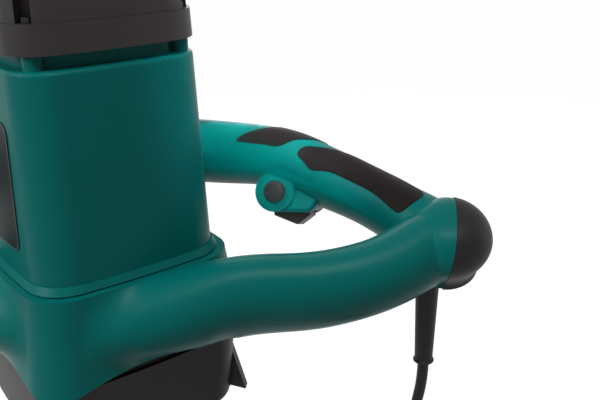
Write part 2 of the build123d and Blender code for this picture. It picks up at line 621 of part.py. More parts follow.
def polar(radius, angle):
    """A point of the plane by radius and angle."""
    return (radius * math.cos(angle), radius * math.sin(angle))


def gear_outline(module, teeth, shift, phase):
    """A spur gear's face, with one tooth centred on the phase angle."""
    pitch = module * teeth / 2
    base = pitch * math.cos(PRESSURE)
    tip = pitch + module * (ADDENDUM + shift)
    root = pitch - module * (DEDENDUM - shift)
    start = max(base, root)
    thick = module * (math.pi / 2 + 2 * shift * math.tan(PRESSURE)) - BACKLASH / 2

    def half(radius):
        return thick / (2 * pitch) + involute(PRESSURE) - involute(math.acos(base / radius))

    middle = (start + tip) / 2
    step = 2 * math.pi / teeth
    edges = []
    for i in range(teeth):
        at = phase + i * step
        rise = [polar(start, at - half(start)), polar(middle, at - half(middle)), polar(tip, at - half(tip))]
        fall = [polar(tip, at + half(tip)), polar(middle, at + half(middle)), polar(start, at + half(start))]
        foot, next_foot = polar(root, at - half(start)), polar(root, at + step - half(start))
        heel = polar(root, at + half(start))
        if root < start:
            edges.append(Line(foot, rise[0]))
        edges += [ThreePointArc(*rise), Line(rise[2], fall[0]), ThreePointArc(*fall)]
        if root < start:
            edges.append(Line(fall[2], heel))
        edges.append(Line(heel, next_foot))
    return make_face(edges)


def gear(module, teeth, shift, phase, low, high, y=0.0):
    """A spur gear between two heights."""
    return Pos(0, y, low) * extrude(gear_outline(module, teeth, shift, phase), high - low, dir=(0, 0, 1))


def armature_shaft():
    """The motor's shaft, with the first pinion cut on its lower end."""
    low, high = FIRST_Z - PINION_EXTRA, FIRST_Z + FIRST_FACE + PINION_EXTRA
    body = cyl(SHAFT_R, high, BRIDGE_Z + BRIDGE_HUB + BEARING_LIP)
    return body + gear(FIRST_MODULE, FIRST_PINION, FIRST_SHIFT, math.pi / 2, low, high)


def first_wheel():
    """The large wheel on the layshaft, with a hub and a lightened web."""
    phase = -math.pi / 2 + math.pi / FIRST_WHEEL
    body = gear(FIRST_MODULE, FIRST_WHEEL, -FIRST_SHIFT, phase, FIRST_Z, FIRST_Z + FIRST_FACE, AXES)
    rim = FIRST_MODULE * FIRST_WHEEL / 2 - 2 * WALL
    for face in (FIRST_Z, FIRST_Z + FIRST_FACE * 2 / 3):
        body -= tube(rim, 2 * LAYSHAFT_R, face, face + FIRST_FACE / 3, 0, AXES)
    return body - cyl(LAYSHAFT_R + FIT, FIRST_Z, FIRST_Z + FIRST_FACE, 0, AXES)


def layshaft():
    """The layshaft, with the last pinion cut on it."""
    body = cyl(LAYSHAFT_R, POT_Z + POT_FLOOR - BUSH_LENGTH + CLEAR, DECK_Z - BEARING_LIP - CLEAR, 0, AXES)
    low, high = LAST_Z - PINION_EXTRA, LAST_Z + LAST_FACE + PINION_EXTRA
    return body + gear(LAST_MODULE, LAST_PINION, LAST_SHIFT, -math.pi / 2, low, high, AXES)


def output_gear():
    """The last wheel, on the spindle."""
    phase = math.pi / 2 + math.pi / LAST_WHEEL
    body = gear(LAST_MODULE, LAST_WHEEL, -LAST_SHIFT, phase, LAST_Z, LAST_Z + LAST_FACE)
    return body - cyl(SPINDLE_R + FIT, LAST_Z, LAST_Z + LAST_FACE)


def output_spindle():
    """The spindle: a nose with spanner flats and the paddle's thread, and a journal for its bearings."""
    head = cyl(NOSE_R, 0, NOSE_LENGTH)
    head = chamfer(head.edges().filter_by(GeomType.CIRCLE), NOSE_BEVEL)
    head &= block(2 * NOSE_R, NOSE_FLATS, 0, NOSE_LENGTH)
    body = head + cyl(SPINDLE_R, NOSE_LENGTH, LAST_Z + LAST_FACE)
    return body - cyl(THREAD_R, 0, THREAD_DEPTH)


def bush(low, length):
    """A plain bush for the layshaft."""
    return tube(BUSH_R - SEAT, LAYSHAFT_R + FIT, low, low + length, 0, AXES)


# Motor

def stator_core():
    """The stator's laminations: a yoke with two poles."""
    body = tube(STATOR_R, STATOR_R - YOKE, STATOR_Z, STATOR_TOP)
    body += block(2 * STATOR_R - YOKE, POLE_WIDTH, STATOR_Z, STATOR_TOP) & cyl(STATOR_R, STATOR_Z, STATOR_TOP)
    return body - cyl(STATOR_BORE, STATOR_Z, STATOR_TOP)


def field_coils():
    """The field winding: bundles beside the poles, joined by end turns."""
    outer, inner = STATOR_R - YOKE - CLEAR, STATOR_BORE + 2 * ROTOR_GAP
    body = tube(outer, inner, STATOR_Z - WINDING_END, STATOR_TOP + WINDING_END)
    return body - block(2 * STATOR_R, POLE_WIDTH + 2 * CLEAR, STATOR_Z - CLEAR, STATOR_TOP + CLEAR)


def rotor_slots(width):
    """Blocks in the slots of the armature."""
    radius = STATOR_BORE - ROTOR_GAP
    deep = radius - SLOT_DEEP / 2
    return [Rot(0, 0, 360 / ROTOR_SLOTS * i) * block(SLOT_DEEP, width, STATOR_Z, STATOR_TOP, deep)
            for i in range(ROTOR_SLOTS)]


def armature_core():
    """The armature's laminations, slotted for the winding."""
    body = tube(STATOR_BORE - ROTOR_GAP, SHAFT_R + FIT, STATOR_Z, STATOR_TOP)
    for slot in rotor_slots(SLOT_WIDTH):
        body -= slot
    return body


def armature_winding():
    """The armature's winding: bars in the slots and a ring of end turns at each side."""
    radius = STATOR_BORE - ROTOR_GAP
    ends = tube(radius - SLOT_DEEP / 4, 2 * SHAFT_R, STATOR_Z - WINDING_END, STATOR_TOP + WINDING_END)
    body = ends - cyl(radius, STATOR_Z - SEAT, STATOR_TOP + SEAT)
    for slot in rotor_slots(SLOT_WIDTH - 2 * SEAT):
        trimmed = slot & cyl(radius - SLOT_DEEP / 4, STATOR_Z, STATOR_TOP)
        inner = cyl(radius - SLOT_DEEP + SEAT, STATOR_Z - SEAT, STATOR_TOP + SEAT)
        body += trimmed - inner
    for low in (STATOR_Z - SEAT, STATOR_TOP):
        piece = block(SLOT_DEEP / 2, SLOT_WIDTH - 2 * SEAT, low, low + SEAT, radius - SLOT_DEEP / 2)
        for i in range(ROTOR_SLOTS):
            body += Rot(0, 0, 360 / ROTOR_SLOTS * i) * piece
    return body


def commutator():
    """The commutator, cut into bars."""
    body = tube(COMMUTATOR_R, SHAFT_R + FIT, COMMUTATOR_Z, COMMUTATOR_Z + COMMUTATOR_HEIGHT)
    for i in range(BARS):
        body -= Rot(0, 0, 360 / BARS * i) * block(2 * ROTOR_GAP, ROTOR_GAP, COMMUTATOR_Z,
                                                  COMMUTATOR_Z + COMMUTATOR_HEIGHT, COMMUTATOR_R)
    return body


def cooling_fan():
    """The fan: a hub, a plate and radial blades."""
    body = tube(2 * SHAFT_R, SHAFT_R + FIT, FAN_Z, FAN_Z + FAN_HEIGHT)
    body += tube(FAN_R, SHAFT_R + FIT, FAN_Z + FAN_HEIGHT - FAN_PLATE, FAN_Z + FAN_HEIGHT)
    length = FAN_R - 2 * SHAFT_R
    for i in range(FAN_BLADES):
        body += Rot(0, 0, 360 / FAN_BLADES * i) * block(length, FAN_PLATE, FAN_Z, FAN_Z + FAN_HEIGHT,
                                                        FAN_R - length / 2 - FAN_PLATE)
    return body


def bearing_bridge():
    """The cross that carries the upper bearing and the brush holders."""
    reach = 2 * (LEDGE_R + 2 * WALL)
    body = block(reach, BRIDGE_ARM, BRIDGE_Z, BRIDGE_Z + BRIDGE_THICK)
    body += block(BRIDGE_ARM, reach, BRIDGE_Z, BRIDGE_Z + BRIDGE_THICK)
    body += cyl(UPPER_BEARING_R + WALL, BRIDGE_Z, BRIDGE_Z + BRIDGE_HUB)
    for side in (1, -1):
        body += block(HOLDER_LENGTH / 2, BRIDGE_ARM, HOLDER_TOP, BRIDGE_Z, side * HOLDER_X)
    body -= cyl(UPPER_BEARING_R, UPPER_BEARING_Z, BRIDGE_Z + BRIDGE_HUB)
    return body - cyl(SHAFT_R + 2 * CLEAR, BRIDGE_Z, BRIDGE_Z + BRIDGE_HUB)


def brush_holder(side):
    """A brass box that guides one carbon brush."""
    high = HOLDER_TOP - HOLDER_WALL
    low = high - BRUSH_HEIGHT
    box = block(HOLDER_LENGTH, BRUSH_WIDTH + 2 * HOLDER_WALL, low - HOLDER_WALL, HOLDER_TOP, side * HOLDER_X)
    bore = block(HOLDER_LENGTH, BRUSH_WIDTH, low, high, side * (HOLDER_X - HOLDER_WALL))
    return box - bore


def carbon_brush(side):
    """A carbon brush, hollowed at its end to the commutator's curve."""
    body = block(BRUSH_LENGTH, BRUSH_WIDTH - 2 * SEAT, HOLDER_TOP - HOLDER_WALL - BRUSH_HEIGHT + SEAT,
                 HOLDER_TOP - HOLDER_WALL - SEAT, side * (BRUSH_START + BRUSH_LENGTH / 2))
    return body - cyl(COMMUTATOR_R + CLEAR, COMMUTATOR_Z, BRIDGE_Z)


def brush_spring(side):
    """The coil spring behind a brush."""
    start = BRUSH_START + BRUSH_LENGTH + SPRING_WIRE + SEAT
    end = HOLDER_X + HOLDER_LENGTH / 2 - HOLDER_WALL - SPRING_WIRE - SEAT
    height = HOLDER_TOP - HOLDER_WALL - BRUSH_HEIGHT / 2
    spring = coil_spring(end - start)
    return Plane(origin=(side * start, 0, height), x_dir=(0, 1, 0), z_dir=(side, 0, 0)) * spring


def coil_spring(length):
    """A compression spring along Z, from its first to its last turn."""
    path = Helix(length / SPRING_TURNS, length, SPRING_R)
    section = Plane(origin=path @ 0, z_dir=path % 0) * RegularPolygon(SPRING_WIRE, CORD_SIDES)
    return sweep(section, path, is_frenet=True)


def trigger_spring():
    """The spring between the switch and the trigger."""
    top = SWITCH_Y - SWITCH_HEIGHT / 2 - SPRING_WIRE - SEAT
    low = PIVOT_Y + TRIGGER_TOP + SPRING_WIRE + SEAT
    seat = POD * Plane(origin=(PIVOT_X + SPRING_REACH, low, 0), x_dir=(1, 0, 0), z_dir=(0, 1, 0))
    return seat * coil_spring(top - low)


def lock_spring():
    """The spring under the lock button."""
    low = BOSS_FACE + BUTTON_PROUD - BUTTON_LENGTH
    floor = low - BUTTON_TRAVEL - 2 * SPRING_WIRE - SPRING_ROOM
    seat = POD * Plane(origin=(BOSS_X, BOSS_Y, floor + SPRING_WIRE + SEAT))
    return seat * coil_spring(low - floor - 2 * SPRING_WIRE - 2 * SEAT)


# Mains cord

def strain_relief():
    """The tapered sleeve where the cord leaves the nose, with a collar inside and a ring at its tip."""
    ring = RELIEF_RING_R - RELIEF_TIP_R
    profile = make_face(Polyline((0, RELIEF_TOP + WALL), (RELIEF_COLLAR_R, RELIEF_TOP + WALL),
                                 (RELIEF_COLLAR_R, RELIEF_TOP), (RELIEF_R, RELIEF_TOP),
                                 (RELIEF_TIP_R, RELIEF_END + 3 * ring),
                                 (RELIEF_RING_R, RELIEF_END + 2 * ring), (RELIEF_RING_R, RELIEF_END + ring),
                                 (RELIEF_TIP_R, RELIEF_END), (0, RELIEF_END), close=True))
    return Pos(RELIEF_X, RELIEF_Y, 0) * revolve(Plane.XZ * profile, Axis.Z, 360)


def cord_section(point, direction):
    """The cord's cross-section at a point."""
    return Plane(origin=point, z_dir=direction) * RegularPolygon(CORD_R, CORD_SIDES)


def cord_lead():
    """The hanging stretch, from the strain relief to the coil."""
    points = [Vector(*p) for p in CORD_ROUTE]
    radii = []
    for before, at, after in zip(points, points[1:], points[2:]):
        turn = math.radians((at - before).get_angle(after - at))
        radii.append(BEND_SHARE * min((at - before).length, (after - at).length) / math.tan(turn / 2))
    print("cord bends", [round(radius) for radius in radii])
    path = FilletPolyline(*points, radius=radii)
    body = sweep(cord_section(points[0], points[1] - points[0]), path)
    print("lead", round(path.length), "volume ratio", round(body.volume / (cord_area() * path.length), 3))
    return body


def cord_area():
    """The area of the cord's section."""
    return RegularPolygon(CORD_R, CORD_SIDES).area


def coil_radius(turn):
    """The winding's radius after so many turns: in towards the middle and out again."""
    return COIL_INNER + COIL_STEP * abs(turn - COIL_TURNS / 2)


def coil_layer(turn):
    """How far the winding has climbed to its second layer, in the half turn where it reverses."""
    share = min(max((turn - COIL_TURNS / 2) * 2 + 0.5, 0), 1)
    return COIL_STEP * share * share * (3 - 2 * share)


def coil_frame():
    """The centre, start angle and start point of the coil, in line with the end of the lead."""
    last, end = Vector(*CORD_ROUTE[-2]), Vector(*CORD_ROUTE[-1])
    along = (end - last).normalized()
    start = end + along * (2 * CORD_R)
    lean = math.atan2(COIL_STEP / (2 * math.pi), coil_radius(0))
    angle = math.atan2(along.Z, -along.Y) + math.pi / 2 + lean
    outer = coil_radius(0)
    centre = start - Vector(0, -outer * math.cos(angle), outer * math.sin(angle))
    return centre, angle


def coil_point(turn):
    """A point of the winding's centre line."""
    centre, angle = coil_frame()
    at, radius = angle - 2 * math.pi * turn, coil_radius(turn)
    return centre + Vector(coil_layer(turn), -radius * math.cos(at), radius * math.sin(at))


def coil_heading(turn):
    """The winding's direction at a point."""
    small = 1e-3
    ahead, behind = min(turn + small, COIL_TURNS), max(turn - small, 0)
    return (coil_point(ahead) - coil_point(behind)).normalized()


def biarc(start, start_heading, end, end_heading):
    """Two arcs that join two points with given headings."""
    span, both = end - start, start_heading + end_heading
    spread = 2 * (1 - start_heading.dot(end_heading))
    along = span.dot(both)
    reach = (math.sqrt(along * along + spread * span.dot(span)) - along) / spread
    first, second = start + start_heading * reach, end - end_heading * reach
    middle = (first + second) * 0.5
    return [TangentArc(start, middle, tangent=start_heading),
            TangentArc(middle, end, tangent=(second - first).normalized())]


def coil_end():
    """The end of the coil's straight tail, with its heading."""
    heading = coil_heading(COIL_TURNS)
    return coil_point(COIL_TURNS) + heading * COIL_TAIL, heading


def coil_gap():
    """The least gap between turns that aren't neighbours along the cord."""
    count = 60
    points = [coil_point(i / count) for i in range(int(COIL_TURNS * count) + 1)]
    least = FAR
    for i, point in enumerate(points):
        for other in points[i + count // 2:]:
            least = min(least, (point - other).length)
    return least - 2 * CORD_R


def cord_coil():
    """The rest of the cord, wound in and out in two layers, as one tube."""
    turns = [COIL_TURNS * i / COIL_ARCS for i in range(COIL_ARCS + 1)]
    edges = [Line(Vector(*CORD_ROUTE[-1]), coil_point(0))]
    for first, second in zip(turns, turns[1:]):
        edges += biarc(coil_point(first), coil_heading(first), coil_point(second), coil_heading(second))
    edges.append(Line(coil_point(COIL_TURNS), coil_end()[0]))
    path = Wire(edges)
    body = sweep(cord_section(Vector(*CORD_ROUTE[-1]), edges[0] % 0), path)
    print("coil", round(path.length), "volume ratio", round(body.volume / (cord_area() * path.length), 3),
          "least gap", round(coil_gap(), 2))
    return body


def cord_tie():
    """The band round the coil's turns, opposite the lead."""
    centre = coil_frame()[0]
    inner, outer = COIL_INNER - CORD_R - SEAT, coil_radius(0) + CORD_R + SEAT
    deep = COIL_STEP + 2 * CORD_R + 2 * SEAT
    height, middle = outer - inner, (outer + inner) / 2
    shell = Box(deep + 2 * TIE_WALL, TIE_WIDTH, height + 2 * TIE_WALL) - Box(deep, TIE_WIDTH, height)
    return Pos(centre.X + COIL_STEP / 2, centre.Y, centre.Z - middle) * shell


def plug_frame():
    """The frame of the plug, in line with the cord's end."""
    end, heading = coil_end()
    return Plane(origin=end + heading * SEAT, x_dir=Vector(1, 0, 0).cross(heading), z_dir=heading)


def plug_body():
    """The moulded plug, swelling from the cord to its flat face."""
    sections = [
        Pos(0, 0, along) * RectangleRounded(thick, wide, thick * PLUG_CORNER)
        for along, wide, thick in PLUG_STATIONS
    ]
    return plug_frame() * loft(sections, ruled=True)


def plug_pins():
    """The plug's two round pins."""
    return [plug_frame() * cyl(PIN_R, PLUG_LENGTH, PLUG_LENGTH + PIN_LENGTH, 0, side * PIN_SPACING / 2)
            for side in (1, -1)]


def build():
    """Every piece by its node's name."""
    right_arm, left_arm = shelled_arm(True), shelled_arm(False)
    bumper, top_pad, front_pad = bumper_shell(), pad(TOP_PAD), pad(FRONT_PAD)
    cover_screws = [RING * screw(u, v, COVER_W - WALL - HEAD, COVER_W + SCREW_GRIP) for u, v in COVER_SCREWS]
    return {
        "motor_housing": motor_housing(),
        "top_cap": top_cap(),
        "handle_frame": handle_frame(right_arm, left_arm),
        "right_handle_cover": handle_cover(right_arm) - relief_hole(),
        "left_handle_cover": mirrored(handle_cover(left_arm)),
        "right_bumper": bumper,
        "left_bumper": mirrored(bumper),
        "right_top_pad": top_pad,
        "left_top_pad": mirrored(top_pad),
        "right_front_pad": front_pad,
        "left_front_pad": mirrored(front_pad),
        "gearbox_housing": gearbox_housing(),
        "gear_plate": gear_plate(),
        "armature_shaft": armature_shaft(),
        "armature_core": armature_core(),
        "armature_winding": armature_winding(),
        "commutator": commutator(),
        "cooling_fan": cooling_fan(),
        "stator_core": stator_core(),
        "field_coils": field_coils(),
        "lower_bearing": bearing(LOWER_BEARING_R, SHAFT_R, LOWER_BEARING, LOWER_BEARING_Z),
        "upper_bearing": bearing(UPPER_BEARING_R, SHAFT_R, UPPER_BEARING, UPPER_BEARING_Z),
        "bearing_bridge": bearing_bridge(),
        "brush_holders": Compound(children=[brush_holder(1), brush_holder(-1)]),
        "carbon_brushes": Compound(children=[carbon_brush(1), carbon_brush(-1)]),
        "brush_springs": Compound(children=[brush_spring(1), brush_spring(-1)]),
        "first_wheel": first_wheel(),
        "layshaft": layshaft(),
        "layshaft_bushes": Compound(children=[bush(POT_Z + POT_FLOOR - BUSH_LENGTH, BUSH_LENGTH),
                                              bush(PLATE_Z, PLATE_THICK - BEARING_LIP)]),
        "output_gear": output_gear(),
        "output_spindle": output_spindle(),
        "spindle_seal": tube(SPINDLE_BEARING_R - SEAT, SPINDLE_R + FIT, NECK_Z, NECK_Z + SEAL_THICK),
        "spindle_lower_bearing": bearing(SPINDLE_BEARING_R, SPINDLE_R, SPINDLE_BEARING, NECK_Z + SEAL_THICK),
        "spindle_upper_bearing": bearing(SPINDLE_BEARING_R, SPINDLE_R, SPINDLE_BEARING,
                                         POT_Z + POT_FLOOR - SPINDLE_BEARING),
        "trigger": trigger(),
        "trigger_pin": pod_disc(PIVOT_R - SEAT, -PIN_HALF, PIN_HALF, PIVOT_X, PIVOT_Y),
        "trigger_spring": trigger_spring(),
        "switch_block": switch_block(),
        "lock_button": lock_button(),
        "lock_spring": lock_spring(),
        "gearbox_screws": Compound(children=[screw(x, y, POT_SCREW_Z, DECK_Z + SCREW_GRIP)
                                             for x, y in corners(POT_SCREW_Q)]),
        "housing_screws": Compound(children=[screw(x, y, FLANGE_Z - DECK - HEAD, FLANGE_Z + SCREW_GRIP)
                                             for x, y in corners(HOUSING_SCREW_Q)]),
        "cap_screws": Compound(children=[screw(x, y, SHOULDER_Z - SCREW_GRIP, CAP_Z + CAP_BAND + HEAD, False)
                                         for x, y in corners(CAP_SCREW_Q)]),
        "cover_screws": Compound(children=cover_screws + [mirrored(piece) for piece in cover_screws]),
        "strain_relief": strain_relief(),
        "cord_lead": cord_lead(),
        "cord_coil": cord_coil(),
        "cord_tie": cord_tie(),
        "plug_body": plug_body(),
        "plug_pins": Compound(children=plug_pins()),
    }


def main():
    os.makedirs("parts", exist_ok=True)
    for name, shape in build().items():
        export_step(shape, f"parts/{name}.step")


if __name__ == "__main__":
    main()
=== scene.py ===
"""Looks of a hand-held electric mixer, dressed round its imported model.

Lengths are metres in the model's own frame: +Z up the spindle, +X across the ring handle towards the
switch and the cord, -Y to the front.
"""
from __future__ import annotations

import json
import logging
import math
from dataclasses import dataclass
from enum import Enum

import bmesh
import bpy
from mathutils import Matrix, Vector
from mathutils.bvhtree import BVHTree
from mathutils.kdtree import KDTree


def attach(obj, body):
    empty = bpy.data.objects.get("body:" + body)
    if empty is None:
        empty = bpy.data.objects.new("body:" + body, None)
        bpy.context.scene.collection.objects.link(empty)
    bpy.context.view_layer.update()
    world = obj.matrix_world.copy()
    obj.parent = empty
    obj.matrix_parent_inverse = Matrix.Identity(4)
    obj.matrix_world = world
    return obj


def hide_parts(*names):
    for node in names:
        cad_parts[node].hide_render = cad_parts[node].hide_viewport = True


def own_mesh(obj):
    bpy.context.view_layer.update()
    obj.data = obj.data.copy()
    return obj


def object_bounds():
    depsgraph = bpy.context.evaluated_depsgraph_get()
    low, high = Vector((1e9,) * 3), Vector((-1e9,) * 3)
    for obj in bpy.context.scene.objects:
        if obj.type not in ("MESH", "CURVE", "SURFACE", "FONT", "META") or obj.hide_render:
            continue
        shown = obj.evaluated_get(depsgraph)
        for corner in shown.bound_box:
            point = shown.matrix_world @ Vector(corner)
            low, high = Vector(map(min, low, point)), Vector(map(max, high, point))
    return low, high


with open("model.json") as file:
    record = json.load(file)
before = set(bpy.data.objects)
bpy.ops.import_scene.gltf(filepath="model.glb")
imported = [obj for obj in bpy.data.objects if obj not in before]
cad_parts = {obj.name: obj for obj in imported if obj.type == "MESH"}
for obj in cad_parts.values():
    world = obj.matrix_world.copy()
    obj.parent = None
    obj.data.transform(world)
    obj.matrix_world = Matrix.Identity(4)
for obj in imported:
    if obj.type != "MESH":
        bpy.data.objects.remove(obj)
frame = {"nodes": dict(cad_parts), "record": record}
CAD_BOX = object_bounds()

LOG = logging.getLogger("mixer")
MM = 0.001
MACHINE = "machine"
TONE_STOPS = (0.35, 0.75)   # where a finish's two tones start and end in its patches
BUMP_DEPTH = 0.1 * MM
PIT_SHARE = 0.5             # pits beside grain in the moulded texture
TURN_STRETCH = (0.05, 0.05, 1.0)
WIRE_WOBBLE = 1.2
WHITE = (1.0, 1.0, 1.0, 1.0)

Colour = tuple[float, float, float]
Point = tuple[float, float, float]


def linear(red: int, green: int, blue: int) -> Colour:
    """Turns a display colour into the linear colour that shaders use.

    Args:
        red: Red, 0 to 255.
        green: Green, 0 to 255.
        blue: Blue, 0 to 255.

    Returns:
        The linear colour.
    """
    def channel(value: int) -> float:
        """One channel of the colour."""
        share = value / 255
        return share / 12.92 if share <= 0.04045 else ((share + 0.055) / 1.055) ** 2.4

    return (channel(red), channel(green), channel(blue))


class Texture(Enum):
    """The kinds of surface texture that a finish can have."""

    MOULDED = "moulded grain"
    BRUSHED = "brushed lines"
    WOUND = "wound wire"


class SurfaceGroups:
    """The shader node groups that the finishes share, each built once."""

    @staticmethod
    def begin(name: str, sizes: dict[str, float]) -> bpy.types.ShaderNodeTree:
        """Starts a group with float inputs and the outputs that every texture has.

        Args:
            name: The group's name.
            sizes: Input names with their defaults.

        Returns:
            The group's node tree, with its input and output nodes in place.
        """
        tree = bpy.data.node_groups.new(name, "ShaderNodeTree")
        for label, value in sizes.items():
            socket = tree.interface.new_socket(label, in_out="INPUT", socket_type="NodeSocketFloat")
            socket.default_value = value
        for label in ("Height", "Tone", "Gloss"):
            tree.interface.new_socket(label, in_out="OUTPUT", socket_type="NodeSocketFloat")
        tree.nodes.new("NodeGroupInput").name = "in"
        tree.nodes.new("NodeGroupOutput").name = "out"
        return tree

    @staticmethod
    def noise(tree: bpy.types.ShaderNodeTree, vector: bpy.types.NodeSocket, detail: float,
              scale: bpy.types.NodeSocket | float) -> bpy.types.NodeSocket:
        """Adds a noise texture to a group.

        Args:
            tree: The group.
            vector: The coordinates.
            detail: How many octaves the noise has.
            scale: A number, or the socket that gives it.

        Returns:
            The noise's value.
        """
        node = tree.nodes.new("ShaderNodeTexNoise")
        node.inputs["Detail"].default_value = detail
        tree.links.new(vector, node.inputs["Vector"])
        if isinstance(scale, float):
            node.inputs["Scale"].default_value = scale
        else:
            tree.links.new(scale, node.inputs["Scale"])
        return node.outputs["Fac"]

    @staticmethod
    def math(tree: bpy.types.ShaderNodeTree, operation: str, first: bpy.types.NodeSocket,
             second: bpy.types.NodeSocket | float) -> bpy.types.NodeSocket:
        """Adds a sum, product or the like to a group.

        Args:
            tree: The group.
            operation: The name of the operation.
            first: The first value.
            second: The second value, a socket or a number.

        Returns:
            The result.
        """
        node = tree.nodes.new("ShaderNodeMath")
        node.operation = operation
        tree.links.new(first, node.inputs[0])
        if isinstance(second, float):
            node.inputs[1].default_value = second
        else:
            tree.links.new(second, node.inputs[1])
        return node.outputs[0]

    def moulded(self) -> bpy.types.ShaderNodeTree:
        """Spark-eroded grain of moulded plastic and rubber, with faint flow marks and rubbed patches.

        Returns:
            The group.
        """
        tree = self.begin(Texture.MOULDED.value, {"Grain Scale": 1500.0, "Patch Scale": 18.0})
        nodes, links = tree.nodes, tree.links
        place = nodes.new("ShaderNodeTexCoord").outputs["Object"]
        grain = self.noise(tree, place, 3.0, nodes["in"].outputs["Grain Scale"])
        patch = self.noise(tree, place, 4.0, nodes["in"].outputs["Patch Scale"])
        pits = nodes.new("ShaderNodeTexVoronoi")
        links.new(place, pits.inputs["Vector"])
        links.new(nodes["in"].outputs["Grain Scale"], pits.inputs["Scale"])
        deep = self.math(tree, "MULTIPLY", pits.outputs["Distance"], PIT_SHARE)
        height = self.math(tree, "ADD", grain, deep)
        links.new(height, nodes["out"].inputs["Height"])
        links.new(patch, nodes["out"].inputs["Tone"])
        links.new(self.math(tree, "MULTIPLY", patch, grain), nodes["out"].inputs["Gloss"])
        return tree

    def brushed(self) -> bpy.types.ShaderNodeTree:
        """Fine tool marks round the spindle's axis, as turning and grinding leave on metal.

        Returns:
            The group.
        """
        tree = self.begin(Texture.BRUSHED.value, {"Line Scale": 900.0, "Patch Scale": 40.0})
        nodes, links = tree.nodes, tree.links
        place = nodes.new("ShaderNodeTexCoord").outputs["Object"]
        stretch = nodes.new("ShaderNodeVectorMath")
        stretch.operation = "MULTIPLY"
        stretch.inputs[1].default_value = TURN_STRETCH
        links.new(place, stretch.inputs[0])
        lines = self.noise(tree, stretch.outputs["Vector"], 2.0, nodes["in"].outputs["Line Scale"])
        patch = self.noise(tree, place, 3.0, nodes["in"].outputs["Patch Scale"])
        links.new(lines, nodes["out"].inputs["Height"])
        links.new(patch, nodes["out"].inputs["Tone"])
        links.new(self.math(tree, "MULTIPLY", patch, lines), nodes["out"].inputs["Gloss"])
        return tree

    def wound(self) -> bpy.types.ShaderNodeTree:
        """Turns of enamelled wire laid side by side.

        Returns:
            The group.
        """
        tree = self.begin(Texture.WOUND.value, {"Wire Scale": 900.0, "Patch Scale": 60.0})
        nodes, links = tree.nodes, tree.links
        place = nodes.new("ShaderNodeTexCoord").outputs["Object"]
        wire = nodes.new("ShaderNodeTexWave")
        wire.bands_direction = "Z"
        wire.inputs["Distortion"].default_value = WIRE_WOBBLE
        links.new(place, wire.inputs["Vector"])
        links.new(nodes["in"].outputs["Wire Scale"], wire.inputs["Scale"])
        patch = self.noise(tree, place, 3.0, nodes["in"].outputs["Patch Scale"])
        links.new(wire.outputs["Fac"], nodes["out"].inputs["Height"])
        links.new(patch, nodes["out"].inputs["Tone"])
        links.new(wire.outputs["Fac"], nodes["out"].inputs["Gloss"])
        return tree

    def build(self) -> dict[Texture, bpy.types.ShaderNodeTree]:
        """Builds all the groups.

        Returns:
            The groups by texture.
        """
        return {Texture.MOULDED: self.moulded(), Texture.BRUSHED: self.brushed(), Texture.WOUND: self.wound()}


@dataclass(frozen=True)
class Finish:
    """A surface finish: colour, gloss and texture."""

    name: str
    colour: Colour
    worn: Colour
    roughness: tuple[float, float]
    texture: Texture = Texture.MOULDED
    scale: float = 1500.0
    patch: float = 18.0
    bump: float = 0.12
    metallic: float = 0.0
    specular: float = 0.5

    def material(self, groups: dict[Texture, bpy.types.ShaderNodeTree]) -> bpy.types.Material:
        """Builds the finish's material.

        Args:
            groups: The shared texture groups.

        Returns:
            The material.
        """
        material = bpy.data.materials.new(self.name)
        material.use_nodes = True
        tree = material.node_tree
        shader = tree.nodes["Principled BSDF"]
        shader.inputs["Metallic"].default_value = self.metallic
        shader.inputs["Specular IOR Level"].default_value = self.specular
        group = tree.nodes.new("ShaderNodeGroup")
        group.node_tree = groups[self.texture]
        group.inputs[0].default_value = self.scale
        group.inputs[1].default_value = self.patch
        ramp = tree.nodes.new("ShaderNodeValToRGB")
        for stop, place, shade in zip(ramp.color_ramp.elements, TONE_STOPS, (self.colour, self.worn)):
            stop.position = place
            stop.color = (*shade, 1.0)
        tree.links.new(group.outputs["Tone"], ramp.inputs["Fac"])
        tree.links.new(ramp.outputs["Color"], shader.inputs["Base Color"])
        gloss = tree.nodes.new("ShaderNodeMapRange")
        gloss.inputs["To Min"].default_value, gloss.inputs["To Max"].default_value = self.roughness
        tree.links.new(group.outputs["Gloss"], gloss.inputs["Value"])
        tree.links.new(gloss.outputs["Result"], shader.inputs["Roughness"])
        bump = tree.nodes.new("ShaderNodeBump")
        bump.inputs["Strength"].default_value = self.bump
        bump.inputs["Distance"].default_value = BUMP_DEPTH
        tree.links.new(group.outputs["Height"], bump.inputs["Height"])
        tree.links.new(bump.outputs["Normal"], shader.inputs["Normal"])
        return material


